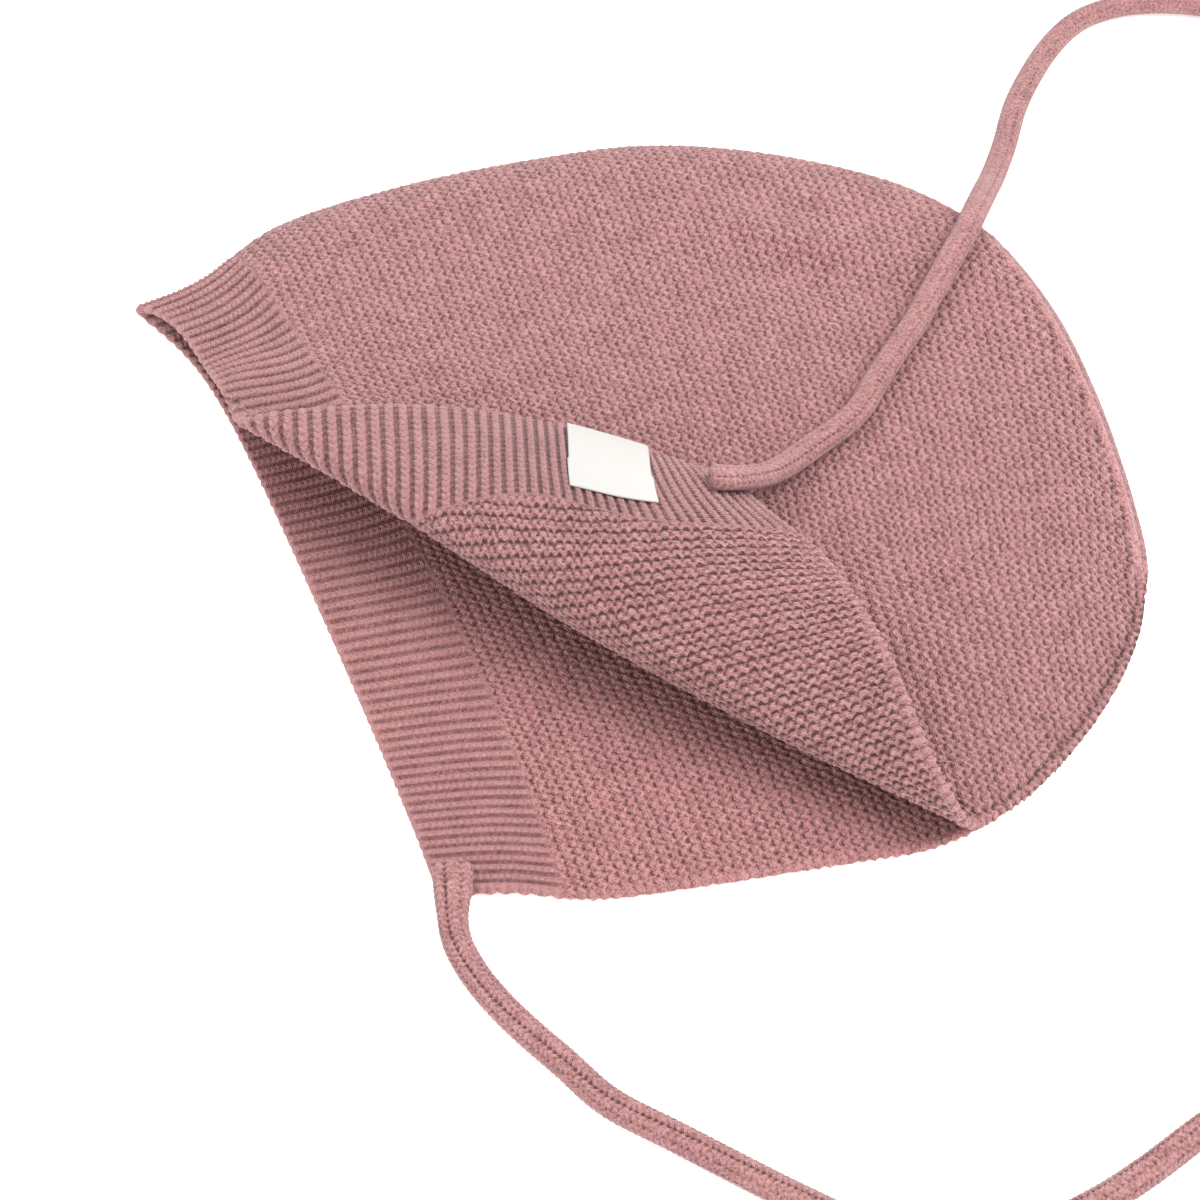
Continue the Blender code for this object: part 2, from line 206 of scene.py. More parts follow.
TIE_LOWER = (
    # x, y, z
    (-38.5, -100.4, 4.7), (-38.4, -104.6, 4.7), (-38.3, -108.8, 4.4), (-38.2, -113.2, 3.2),
    (-37.5, -117.6, 2.4), (-35.9, -121.8, 2.3), (-32.2, -128.1, 2.3), (-26.8, -134.8, 2.3),
    (-20.6, -141.1, 2.3), (-13.9, -147.3, 2.3), (-4.3, -156.3, 2.3), (9.8, -164.2, 2.3),
    (23.4, -171.8, 2.3), (33.0, -177.0, 2.3), (46.5, -183.4, 2.3), (62.0, -187.0, 2.3), (79.0, -185.2, 2.3),
    (93.4, -178.9, 2.3), (105.2, -171.6, 2.3), (117.1, -162.9, 2.3), (129.5, -154.6, 2.3),
    (143.0, -148.4, 2.3), (157.5, -144.6, 2.3),
)
# Wool colours; the dark one is reached mostly where painted shade darkens the gaps between the loops.
WOOL_LIGHT = (0.540, 0.284, 0.284)
WOOL_MID = (0.385, 0.172, 0.171)
WOOL_DARK = (0.095, 0.026, 0.029)


def smooth_route(route, step):
    """Evenly spaced points on a smooth curve through the route, and its length."""
    pts = np.array(route, float) - BONNET_MIDDLE
    full = np.vstack([2 * pts[0] - pts[1], pts, 2 * pts[-1] - pts[-2]])
    out = []
    for p0, p1, p2, p3 in zip(full, full[1:], full[2:], full[3:]):
        t = np.linspace(0, 1, 30, endpoint=False)[:, None]
        out.append(0.5 * (2 * p1 + (p2 - p0) * t
                          + (2 * p0 - 5 * p1 + 4 * p2 - p3) * t ** 2
                          + (3 * p1 - p0 - 3 * p2 + p3) * t ** 3))
    dense = np.vstack(out + [pts[-1:]])
    run = np.r_[0, np.cumsum(np.linalg.norm(np.diff(dense, axis=0), axis=1))]
    even = np.linspace(0, run[-1], round(run[-1] / step) + 1)
    return np.stack([np.interp(even, run, dense[:, k]) for k in range(3)], -1), run[-1]


def give(mesh, name, values, kind="FLOAT"):
    """Stores one value for each point of a mesh."""
    layer = mesh.attributes.new(name, kind, "POINT")
    key = "vector" if kind == "FLOAT_VECTOR" else "value"
    layer.data.foreach_set(key, np.asarray(values, np.float32).ravel())


def mesh_of(name, points, faces):
    mesh = bpy.data.meshes.new(name)
    mesh.from_pydata((np.asarray(points) * MM).tolist(), [], faces)
    mesh.polygons.foreach_set("use_smooth", np.ones(len(mesh.polygons), bool))
    mesh.update()
    return mesh


def field(tree, name):
    """A stored value of the cloth, in a shader or in a geometry tree."""
    if tree.bl_idname == "ShaderNodeTree":
        return Wire(tree).node("ShaderNodeAttribute", {"attribute_name": name}, out="Fac")
    return Wire(tree).node("GeometryNodeInputNamedAttribute", {"data_type": "FLOAT"}, {"Name": name},
                           out="Attribute")


def relief_tree(name, height):
    """Geometry nodes that raise the stitches of a knitted piece along its outward direction."""
    tree = bpy.data.node_groups.new(name, "GeometryNodeTree")
    face = tree.interface
    face.new_socket("Geometry", in_out="INPUT", socket_type="NodeSocketGeometry")
    face.new_socket("Relief", in_out="INPUT", socket_type="NodeSocketFloat")
    face.new_socket("Material", in_out="INPUT", socket_type="NodeSocketMaterial")
    face.new_socket("Geometry", in_out="OUTPUT", socket_type="NodeSocketGeometry")
    given = Wire(tree).node("NodeGroupInput")
    relief = Wire(tree, given.socket.node.outputs["Relief"])
    wool = Wire(tree, given.socket.node.outputs["Material"])
    outward = given.node("GeometryNodeInputNamedAttribute", {"data_type": "FLOAT_VECTOR"},
                         {"Name": "outward"}, out="Attribute")
    rise = height(tree) * relief * MM
    offset = given.node("ShaderNodeVectorMath", {"operation": "SCALE"}, {0: outward, "Scale": rise})
    raised = given.node("GeometryNodeSetPosition", None, {"Geometry": given, "Offset": offset})
    solid = given.node("GeometryNodeRealizeInstances", None, {"Geometry": raised})
    dyed = given.node("GeometryNodeSetMaterial", None, {"Geometry": solid, "Material": wool})
    last = tree.nodes.new("NodeGroupOutput")
    tree.links.new(dyed.socket, last.inputs[0])
    return tree


def knit(piece, tree, relief, wool):
    """Runs the relief nodes on a piece and keeps the plain mesh that they give."""
    work = piece.modifiers.new("stitches", "NODES")
    work.node_group = tree
    for item in tree.interface.items_tree:
        if item.in_out == "INPUT" and item.name == "Relief":
            work[item.identifier] = relief
        if item.in_out == "INPUT" and item.name == "Material":
            work[item.identifier] = wool
    graph = bpy.context.evaluated_depsgraph_get()
    done = bpy.data.meshes.new_from_object(piece.evaluated_get(graph), preserve_all_data_layers=True,
                                           depsgraph=graph)
    piece.modifiers.remove(work)
    piece.data = done


def wool_material(name, height, strand, depth, gap_shade=0.75, light=0.80, painted_bounce_tint=1.0, grain=1.6):
    """Matt wool, light on the loops and darkened by painted shade in the gaps between them, with
    the twist of its strands.

    A tint below 1 takes green and blue away: a painted redder bounce light, for wool that
    lies in the shade of other wool.
    """
    mat, shader = plain_material(name, WOOL_MID, 0.92)
    shader.inputs["Sheen Weight"].default_value = 0.25
    shader.inputs["Sheen Roughness"].default_value = 0.6
    shader.inputs["Specular IOR Level"].default_value = 0.2
    tree = mat.node_tree
    start = Wire(tree)
    place = start.node("ShaderNodeTexCoord", out="Object")
    fluff = start.node("ShaderNodeTexNoise", None,
                       {"Vector": place, "Scale": 1500.0, "Detail": 1.5, "Roughness": 0.6})
    dye = start.node("ShaderNodeTexNoise", None,
                     {"Vector": place, "Scale": 170.0, "Detail": 3.0, "Roughness": 0.6})
    stitch = height(tree)
    twist = strand(tree)
    # Painted shade: the colour is darkened in the gaps between the loops, by the factor given for it.
    hollow = ((1 - stitch) * 0.5).limit(0.0, 1.5) ** 1.5
    tone = light - hollow * gap_shade + (fluff - 0.5) * grain + twist * 0.13 + (dye - 0.5) * 0.45
    tone = tone.limit(0.0, 1.0)
    # Painted bounce light: a tint below 1 takes green and blue away, for the pieces in the hollow.
    dark, mid, pale = ((r, g * painted_bounce_tint, b * painted_bounce_tint) for r, g, b in (WOOL_DARK, WOOL_MID, WOOL_LIGHT))
    half_dark = tuple(0.5 * m + 0.5 * d for m, d in zip(mid, dark))
    ramp = start.node("ShaderNodeValToRGB", {"stops": (
        (0.0, dark), (0.28, half_dark), (0.55, mid), (0.95, pale))}, {"Fac": tone})
    tree.links.new(ramp.socket, shader.inputs["Base Color"])
    nap = stitch * 0.5 + fluff * 1.2 + twist * 0.22
    bump = start.node("ShaderNodeBump", None, {"Height": nap, "Distance": depth * MM, "Strength": 0.85})
    tree.links.new(bump.socket, shader.inputs["Normal"])
    return mat


def tube_height(tree):
    """Columns of V stitches with a groove between columns, deepest where the tube was closed."""
    column = field(tree, "column")
    across = column.saw()
    leg = (field(tree, "stitch") - across * 1.1).cos()
    groove = (across * 2) ** 3.5
    from_ladder = column - TIE_LADDER
    ladder = (from_ladder * from_ladder * -5.0).maths("EXPONENT")
    holes = groove * (0.55 + ladder * 0.75)
    return (leg * (holes * 0.4 + 0.30) + 0.30 - holes) * field(tree, "calm") + 0.2


def tube_strand(tree):
    """Fine lines of the strands in the tie's V stitches."""
    return ((field(tree, "stitch") - field(tree, "column").saw() * 1.1) * 3).cos()


def tie_tube(name, route, flat_start, twist, calm):
    """Closed tube along the route, wider and flatter where it is sewn on."""
    line, length = smooth_route(route, TIE_STEP)
    count = len(line)
    s = np.linspace(0, length, count)
    ahead = np.gradient(line, axis=0)
    ahead /= np.linalg.norm(ahead, axis=1)[:, None]
    side = np.cross(ahead, (0, 0, 1.0))
    side /= np.linalg.norm(side, axis=1)[:, None]
    over = np.cross(side, ahead)
    from_end = np.minimum(s, length - s)
    close = np.sqrt(np.clip(1 - (1 - np.clip(from_end / TIE_END_ROUND, 0, 1)) ** 2, 0.02, 1))
    patch = flat_start * np.exp(-(s / TIE_PATCH) ** 4)
    wide = TIE_WIDE / 2 * (1 + patch) * close
    thick = TIE_THICK / 2 * (1 - 0.55 * patch) * close
    share = np.linspace(0, 1, TIE_AROUND, endpoint=False)
    turn = TAU * share - math.pi / 2
    round_x = np.sign(np.cos(turn)) * np.abs(np.cos(turn)) ** 0.86
    round_y = np.sign(np.sin(turn)) * np.abs(np.sin(turn)) ** 0.86
    across = side[:, None] * (wide[:, None] * round_x)[..., None]
    upward = over[:, None] * (thick[:, None] * round_y)[..., None]
    outward = (side[:, None] * round_x[None, :, None] / TIE_WIDE
               + over[:, None] * round_y[None, :, None] / TIE_THICK)
    outward *= (close[:, None] / np.linalg.norm(outward, axis=-1))[..., None]
    ring = np.arange(TIE_AROUND)
    after = (ring + 1) % TIE_AROUND
    start = (np.arange(count - 1) * TIE_AROUND)[:, None]
    faces = np.stack([start + ring, start + after,
                      start + TIE_AROUND + after, start + TIE_AROUND + ring], -1).reshape(-1, 4).tolist()
    faces += [ring[::-1].tolist(), (ring + (count - 1) * TIE_AROUND).tolist()]
    mesh = mesh_of(name, (line[:, None] + across + upward).reshape(-1, 3), faces)
    give(mesh, "column", share * TIE_COLUMNS + (s * twist)[:, None])
    give(mesh, "stitch", np.repeat(s / TIE_STITCH, TIE_AROUND))
    calm_here = calm[0] + (calm[1] - calm[0]) * np.clip(s / TIE_EASE, 0, 1)
    give(mesh, "calm", np.repeat(calm_here, TIE_AROUND))
    give(mesh, "outward", outward, "FLOAT_VECTOR")
    tie = show(name, mesh)
    knit(tie, tube_tree, TIE_RELIEF, tie_wool)
    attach(tie, "root")
    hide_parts(name)


tube_tree = relief_tree("tube_stitches", tube_height)
tie_wool = wool_material("tie_wool_knit", tube_height, tube_strand, depth=0.4, gap_shade=0.8, light=0.72)
tie_tube("tie_upper", TIE_UPPER, 0.0, 0.0, (0.9, 0.4))
tie_tube("tie_lower", TIE_LOWER, 0.36, -0.008, (1.1, 1.0))


# ---- The crown ----
# Both halves of the bonnet in one cloth of fine garter knitting, folded along the top
# and seamed at the back. The upper half's front corner is rolled back over it.

# Size of the lying bonnet without its ties, and how far it stands up at the crown
LENGTH = 245.0
DEPTH = 214.0
PUFF = 20.0

# Cloth and band
CLOTH_THICK = 2.0
BAND_WIDTH = 28.0
FRONT_BOW = 11.4
BAND_BOW = 8.4
BAND_PINCH = 6.2
PINCH_AT = 0.69
PINCH_REACH = 0.21

# Plan of the top fold and the back seam, from the forehead to the nape
TOP_LINE = (
    # x as a share of LENGTH, y as a share of DEPTH
    (-0.5020, 0.2687),
    (-0.4327, 0.3061),
    (-0.3592, 0.3799),
    (-0.2351, 0.4364),
    (-0.1102, 0.4729),
    (0.0163, 0.4953),
    (0.1429, 0.4822),
    (0.2686, 0.4393),
    (0.3490, 0.3813),
    (0.3931, 0.3224),
    (0.4343, 0.2308),
    (0.4641, 0.1271),
    (0.4833, 0.0280),
    (0.4939, -0.0584),
    (0.4947, -0.1098),
)

# Plan of the neck edge, from the lower front corner to the nape
NECK_LINE = (
    # x as a share of LENGTH, y as a share of DEPTH
    (-0.1714, -0.5000),
    (-0.1029, -0.4967),
    (-0.0278, -0.5037),
    (0.0747, -0.4869),
    (0.1429, -0.4729),
    (0.2122, -0.4589),
    (0.2702, -0.4467),
    (0.3216, -0.4276),
    (0.3690, -0.3888),
    (0.4163, -0.3290),
    (0.4580, -0.2589),
    (0.4849, -0.1930),
    (0.4955, -0.1472),
)

# Middle of the upper half's cloth above the table, as shares of PUFF
UPPER_HEIGHT = (
    # along, at the fold, third, two thirds, at the neck edge
    (0.00, 0.450, 0.925, 0.750, 0.450),
    (0.10, 0.700, 0.925, 0.725, 0.450),
    (0.30, 0.925, 0.860, 0.700, 0.450),
    (0.52, 1.025, 0.900, 0.675, 0.450),
    (0.76, 0.925, 0.825, 0.650, 0.450),
    (1.00, 0.450, 0.450, 0.450, 0.450),
)
HEIGHT_STOPS = (0.0, 0.34, 0.66, 1.0)
FOLD_REACH = 17.0
LOWER_TUCK = 2.6

# The corner that is turned back: where its fold line meets the two edges, and how it
# rolls. These values and ROLL were fitted to the photo's outline and then rounded.
ROLL_RADIUS = 8.0
FOLD_AT_FRONT = 0.2844
FOLD_AT_NECK = 0.6264
UPPER_SHIFT_X = -1.9
UPPER_SHIFT_Y = -2.9
LAY_SHEAR = 4.3
SETTLE = 54.0
ROLL_EASE = 0.10
ROLL = (
    # along, base height as a share of PUFF, radius as a share of ROLL_RADIUS,
    # turn, turn at the free edge, stretch
    (0.00, 1.150, 0.450, 174.0, 216.0, 1.17),
    (0.25, 0.950, 0.500, 164.0, 235.0, 1.16),
    (0.50, 0.680, 0.990, 145.0, 233.0, 0.975),
    (0.75, 0.470, 0.775, 149.0, 223.0, 0.99),
    (1.00, 0.470, 0.450, 92.0, 200.0, 1.08),
)
NOSE = 0.22


def line_through(rows, steps=400):
    """Smooth curve through the rows, as evenly spaced points."""
    pts = np.array(rows) * (LENGTH, DEPTH)
    full = np.vstack([2 * pts[0] - pts[1], pts, 2 * pts[-1] - pts[-2]])
    out = []
    for i in range(1, len(full) - 2):
        p0, p1, p2, p3 = full[i - 1:i + 3]
        t = np.linspace(0, 1, 40, endpoint=False)[:, None]
        out.append(0.5 * (2 * p1 + (p2 - p0) * t
                          + (2 * p0 - 5 * p1 + 4 * p2 - p3) * t ** 2
                          + (3 * p1 - p0 - 3 * p2 + p3) * t ** 3))
    dense = np.vstack(out + [pts[-1:]])
    run = np.r_[0, np.cumsum(np.linalg.norm(np.diff(dense, axis=0), axis=1))]
    even = np.linspace(0, run[-1], steps)
    return np.c_[np.interp(even, run, dense[:, 0]), np.interp(even, run, dense[:, 1])], run[-1]


def along(line, length, s):
    """Point on an evenly spaced line at the distance s, carried on straight past its ends."""
    even = np.linspace(0, length, len(line))
    x = np.interp(s, even, line[:, 0])
    y = np.interp(s, even, line[:, 1])
    return np.stack([x, y], -1)


def smooth(x):
    x = np.clip(x, 0, 1)
    return x * x * (3 - 2 * x)


def column(rows, key, x):
    """Smooth value of one column of a table at x, with flat ends."""
    xs = np.array([r[0] for r in rows], float)
    ys = np.array([r[key] for r in rows], float)
    slope = np.gradient(ys, xs)
    slope[0] = 0
    slope[-1] = 0
    x = np.clip(x, xs[0], xs[-1])
    k = np.clip(np.searchsorted(xs, x) - 1, 0, len(xs) - 2)
    h = xs[k + 1] - xs[k]
    t = (x - xs[k]) / h
    return ((2 * t ** 3 - 3 * t ** 2 + 1) * ys[k] + (t ** 3 - 2 * t ** 2 + t) * h * slope[k]
            + (3 * t ** 2 - 2 * t ** 3) * ys[k + 1] + (t ** 3 - t ** 2) * h * slope[k + 1])


TOP, TOP_LEN = line_through(TOP_LINE)
NECK, NECK_LEN = line_through(NECK_LINE)


def columns_at(c):
    """Ends of a section: c below 0 is in the band, 0 to 1 is in the crown, in plan."""
    in_band = np.minimum(c, 0) * BAND_WIDTH
    s_top = BAND_WIDTH + in_band + np.clip(c, 0, 1) * (TOP_LEN - BAND_WIDTH)
    s_neck = BAND_WIDTH + in_band + np.clip(c, 0, 1) * (NECK_LEN - BAND_WIDTH)
    return along(TOP, TOP_LEN, s_top), along(NECK, NECK_LEN, s_neck)


def plan_point(c, m, upper=False):
    """Plan position at the fraction m from the top fold to the neck edge."""
    top, neck = columns_at(c)
    span = neck - top
    width = np.linalg.norm(span, axis=-1)
    inward = np.stack([-span[..., 1], span[..., 0]], -1) / width[..., None]
    front = FRONT_BOW * np.clip(1 - m, 0, 1) ** 0.7 * (1 - np.exp(-m / 0.09))
    pinch = BAND_PINCH * smooth(1 - abs(m - PINCH_AT) / PINCH_REACH)
    inner = BAND_BOW * 4 * m * (1 - m) - np.where(upper, pinch, 0)
    in_band = np.clip(-c, 0, 1)
    fade = (1 - 4 * np.clip(c, 0, 0.25))
    bow = front * in_band + inner * (1 - in_band) * fade
    return top + span * m[..., None] + inward * bow[..., None], width


def front_point(share):
    """Plan point on the front edge at a share of its length from the forehead."""
    m = np.linspace(0, 1, 200)
    pts, _ = plan_point(np.full(200, -1.0), m)
    run = np.r_[0, np.cumsum(np.linalg.norm(np.diff(pts, axis=0), axis=1))]
    s = share * run[-1]
    return np.array([np.interp(s, run, pts[:, 0]), np.interp(s, run, pts[:, 1])])


SHIFT = np.array([UPPER_SHIFT_X, UPPER_SHIFT_Y])
FOLD_A = front_point(FOLD_AT_FRONT) + SHIFT
FOLD_C = along(NECK, NECK_LEN, np.array(FOLD_AT_NECK * NECK_LEN)) + SHIFT
FOLD_LEN = float(np.linalg.norm(FOLD_C - FOLD_A))
FOLD_DIR = (FOLD_C - FOLD_A) / FOLD_LEN
FOLD_OUT = np.array([FOLD_DIR[1], -FOLD_DIR[0]])
ROLL_STEPS = 60


def upper_height(c, m):
    """Height of the upper half's cloth before its corner is turned back."""
    pos = np.where(c < 0, 0.10 * (1 + c), 0.10 + 0.90 * np.clip(c, 0, 1))
    cols = np.stack([column(UPPER_HEIGHT, k, pos) for k in (1, 2, 3, 4)], -1)
    stops = np.array(HEIGHT_STOPS)
    k = np.clip(np.searchsorted(stops, m) - 1, 0, 2)
    t = (m - stops[k]) / (stops[k + 1] - stops[k])
    t = t * t * (3 - 2 * t) * 0.5 + t * 0.5
    lo = np.take_along_axis(cols, k[..., None], -1)[..., 0]
    hi = np.take_along_axis(cols, (k + 1)[..., None], -1)[..., 0]
    return (lo + (hi - lo) * t) * PUFF


def turn_back(plan, height):
    """Lay everything past the fold line back over the upper half."""
    r = plan - FOLD_A
    a = r @ FOLD_DIR / FOLD_LEN
    q = r @ FOLD_OUT
    base = column(ROLL, 1, a) * PUFF
    radius = column(ROLL, 2, a) * ROLL_RADIUS
    turn = np.radians(column(ROLL, 3, a))
    turn_end = np.radians(column(ROLL, 4, a))
    past = np.clip(q, 0, None) * column(ROLL, 5, a)
    u = (np.arange(ROLL_STEPS) + 0.5) / ROLL_STEPS
    run = past[..., None] * u
    arc = (radius * turn)[..., None]
    after = turn[..., None] + (turn_end - turn)[..., None] * np.clip((run - arc) / SETTLE, 0, 1.3)
    angle = np.where(run < arc, run / radius[..., None], after)
    out = np.where(q > 0, np.cos(angle).mean(-1) * past, q)
    rise = np.where(q > 0, np.sin(angle).mean(-1) * past, 0)
    slide = LAY_SHEAR * np.clip(past / 80, 0, 1) ** 2
    flat = FOLD_A + (r @ FOLD_DIR + slide)[..., None] * FOLD_DIR + out[..., None] * FOLD_OUT
    near = smooth(-q / 34)
    z = base + (height - base) * near + rise
    inside = smooth(1 + a / ROLL_EASE) * smooth(1 + (1 - a) / ROLL_EASE)
    z = np.where(q > 0, z, height + (z - height) * inside)
    return np.concatenate([flat, z[..., None]], -1)


def flat_place(c, w):
    """Share of the way from the fold to the neck edge, and the plan position there."""
    _, width = plan_point(c, np.zeros_like(w))
    share = np.minimum(FOLD_REACH, 0.6 * width) / width
    v = np.abs(w)
    quarter = np.clip(v / NOSE, 0, 1) * math.pi / 2
    m = np.where(v < NOSE, share * (1 - np.cos(quarter)), share + (1 - share) * (v - NOSE) / (1 - NOSE))
    plan, _ = plan_point(c, m, w > 0)
    return m, plan


def cloth(c, w):
    """Middle of the cloth: w from -1 at the lower neck edge over 0 at the fold to 1."""
    c, w = np.broadcast_arrays(np.asarray(c, float), np.asarray(w, float))
    m, plan = flat_place(c, w)
    rise = np.sin(np.clip(np.abs(w) / NOSE, 0, 1) * math.pi / 2)
    top_z = upper_height(c, m)
    table_z = CLOTH_THICK / 2
    fold_z = 0.5 * (upper_height(c, np.zeros_like(m)) + table_z)
    top, neck = columns_at(c)
    tuck = LOWER_TUCK * smooth((c - 0.45) / 0.15) * m ** 2
    under = plan + (top - neck) / np.linalg.norm(top - neck, axis=-1)[..., None] * tuck[..., None]
    lower = np.concatenate([under, (fold_z + (table_z - fold_z) * rise)[..., None]], -1)
    moved = plan + SHIFT * smooth(m / 0.3)[..., None]
    upper = turn_back(moved, fold_z + (top_z - fold_z) * rise)
    return np.where((w < 0)[..., None], lower, upper)


def cloth_and_face(c, w, step=0.002):
    """Middle of the cloth and the direction towards the wearer's side."""
    c = np.asarray(c, float)
    w = np.asarray(w, float)
    here = cloth(c, w)
    across = cloth(np.minimum(c + step, 1), w) - cloth(np.maximum(c - step, -1), w)
    over = cloth(c, np.minimum(w + step, 1)) - cloth(c, np.maximum(w - step, -1))
    face = np.cross(across, over)
    return here, face / np.linalg.norm(face, axis=-1)[..., None]


# The knitting: where the extra ridges begin on the flat half, and the spacing of ribs,
# rib courses and edge stitches. The count of stitches wanders by YARN_UNEVEN. ARC_LINES
# and ARC_STEPS are the grid on which the rounded fold is measured.
EXTRA_RIDGES_AT = -22.0
YARN_UNEVEN = 0.06
RIB_PITCH = 3.2
RIB_PITCH_AT_NECK = 2.45
RIBS_CLOSE_FROM = 0.66
RIBS_CLOSE_OVER = 0.26
RIB_COURSE = 1.5
SEAM_INSIDE = 2.7
CHAIN_PITCH = 2.1
ARC_LINES = 80
ARC_STEPS = 24
FOLD_OVERLAP = 1.5


def fold_arcs():
    """Length of cloth from the end of the rounded fold back to each of its lines."""
    lines, steps = np.linspace(-1, 1, ARC_LINES + 1), np.linspace(0, NOSE, ARC_STEPS + 1)
    c, v = np.meshgrid(lines, steps, indexing="ij")
    total = 0
    for side in (1, -1):
        pts = cloth(c, v * side)
        step = np.linalg.norm(np.diff(pts, axis=1), axis=-1)
        total = total + np.c_[np.cumsum(step[:, ::-1], axis=1)[:, ::-1], np.zeros(len(c))] / 2
    return total


FOLD_ARCS = fold_arcs()


def knitted_place(c, w):
    """Place of a point on the half laid flat, with the rounded fold's length unrolled."""
    _, plan = flat_place(c, w)
    _, edge = flat_place(c, np.where(w < 0, -NOSE, NOSE))
    top, neck = columns_at(c)
    back = (top - neck) / np.linalg.norm(top - neck, axis=-1)[..., None]
    i = np.clip((c + 1) * ARC_LINES / 2, 0, ARC_LINES - 0.001)
    j = np.clip(np.abs(w) / NOSE * ARC_STEPS, 0, ARC_STEPS - 0.001)
    i0, j0 = i.astype(int), j.astype(int)
    fi, fj = i - i0, j - j0
    arc = ((FOLD_ARCS[i0, j0] * (1 - fj) + FOLD_ARCS[i0, j0 + 1] * fj) * (1 - fi)
           + (FOLD_ARCS[i0 + 1, j0] * (1 - fj) + FOLD_ARCS[i0 + 1, j0 + 1] * fj) * fi)
    return np.where((np.abs(w) < NOSE)[..., None], edge + back * arc[..., None], plan)


def knit_counts(place):
    """Numbers of ridges and of stitches counted to a place, a little uneven as hand-fed yarn is.

    The ridges turn and close up towards the nape. There are more of them near the fold.
    The factors were fitted to the run of the ridges at nine places of the photo and a few
    guessed ones, and then rounded.
    """
    x, y = place[..., 0] / 100, place[..., 1] / 100
    counts = {
        "ridge_low": (31 * x + 11 * y - 1.6 * x * x - 8.6 * x * y - 2.5 * y * y
                      + 4.1 * x ** 3 - 0.8 * x * x * y - 1.6 * x * y * y - 1.3 * y ** 3),
        "ridge_high": (43.2 * x + 11.6 * y + 2 * x * x - 7.9 * x * y + 1.2 * y * y
                       - 0.8 * x ** 3 - 1.4 * x * x * y + 2.2 * x * y * y),
        "stitch": (15.4 * x - 41.8 * y - 3.5 * x * x - 0.3 * x * y + 0.3 * y * y
                   - 1.8 * x ** 3 + 0.6 * x * x * y + x * y * y + 0.7 * y ** 3),
    }
    for name, turn in (("ridge_low", 0), ("ridge_high", 0), ("stitch", 2)):
        uneven = (np.sin(47 * x + 31 * y + turn) + np.sin(-38 * x + 71 * y + 2 * turn)
                  + 0.7 * np.sin(113 * x - 97 * y + turn) + 0.6 * np.sin(151 * x + 139 * y - turn))
        counts[name] = counts[name] + YARN_UNEVEN * uneven
    return counts


def fold_line_at(c):
    """Share at which the upper half meets the fold line of the turned corner, for each c."""
    out = []
    for value in c:
        w = np.linspace(NOSE, 1, 600)
        _, plan = flat_place(np.full(600, value), w)
        past = (plan + SHIFT - FOLD_A) @ FOLD_OUT
        out.append(min(float(np.interp(-FOLD_OVERLAP, past, w)), 1.0))
    return np.array(out)


def rib_count(w):
    """Number of ribs from the fold to a share w of the band, closer together by the neck."""
    share = np.linspace(0, 1, 801)
    _, line = flat_place(np.full(801, -0.5), share)
    step = np.r_[0, np.linalg.norm(np.diff(line, axis=0), axis=1)]
    closer = smooth((share - RIBS_CLOSE_FROM) / RIBS_CLOSE_OVER)
    pitch = RIB_PITCH + (RIB_PITCH_AT_NECK - RIB_PITCH) * closer
    return np.interp(np.abs(w), share, np.cumsum(step / pitch))


def back_outline():
    """Points round the back, from top fold to neck edge, and the run from the nape's middle."""
    fold = cloth(np.linspace(0.55, 1, 160), np.zeros(160))
    nape = cloth(np.ones(24), np.linspace(0, 1, 24))[1:-1]
    neck = cloth(np.linspace(1, 0.5, 200), np.ones(200))
    line = np.vstack([fold, nape, neck])
    run = np.r_[0, np.cumsum(np.linalg.norm(np.diff(line[:, :2], axis=0), axis=1))]
    middle = len(fold) + len(nape) // 2
    return line, run - run[middle]


BACK_LINE, BACK_RUN = back_outline()


def back_seam(here):
    """Height of the back seam's welt and edge chain, and how much stitch is left beside them."""
    flat = here[..., :2].reshape(-1, 2)
    near = np.zeros(len(flat), int)
    gap = np.full(len(flat), 99.0)
    for start in range(0, len(flat), 4000):
        apart = np.linalg.norm(flat[start:start + 4000, None] - BACK_LINE[None, :, :2], axis=-1)
        near[start:start + 4000] = apart.argmin(1)
        gap[start:start + 4000] = apart.min(1)
    gap, run = gap.reshape(here.shape[:2]), BACK_RUN[near].reshape(here.shape[:2])
    nape = smooth((run + 12) / 18)
    begin = smooth((run + 118) / 22)
    above = smooth((here[..., 2] - BACK_LINE[near, 2].reshape(gap.shape) + 1.5) / 1.8)
    inside = SEAM_INSIDE + 2.1 * smooth(-run / 80)
    welt = (1.6 * np.exp(-((gap - inside) / 0.75) ** 2) - 0.35 * np.exp(-((gap - inside + 1.7) / 0.8) ** 2)
            - 0.4 * np.exp(-((gap - inside - 1.6) / 0.7) ** 2))
    knobs = np.cos(TAU * run / CHAIN_PITCH) * np.exp(-(gap / 1.3) ** 2)
    chain = 0.9 * knobs - 0.9 * np.exp(-((gap - 2.3) / 0.6) ** 2) + 0.3 * np.exp(-((gap - 0.9) / 0.8) ** 2)
    strip = begin * (1 - nape) * above
    calm = 1 - 0.85 * strip * np.exp(-(gap / (inside + 0.5)) ** 6) - 0.45 * nape * np.exp(-(gap / 2.0) ** 4)
    return strip * welt + nape * chain, calm, nape * knobs


SWELL_AT = (43.4, 68.5)
SWELL_LIES = (0.96, 0.28)
SWELL_RISE = 2.2
SWELL_DIP = 1.2


def soft_swell(here):
    """The low wave in the cloth near the top fold, and the dip below it."""
    x, y = here[..., 0] - SWELL_AT[0], here[..., 1] - SWELL_AT[1]
    along_it = x * SWELL_LIES[0] - y * SWELL_LIES[1]
    across_it = x * SWELL_LIES[1] + y * SWELL_LIES[0]
    rise = SWELL_RISE * np.exp(-(along_it / 21) ** 2 - (across_it / 6.0) ** 2)
    dip = SWELL_DIP * np.exp(-(along_it / 15) ** 2 - ((across_it + 12) / 6.5) ** 2)
    return rise - dip


EDGE_ROUND = 1.2
NUB_REACH = 1.3


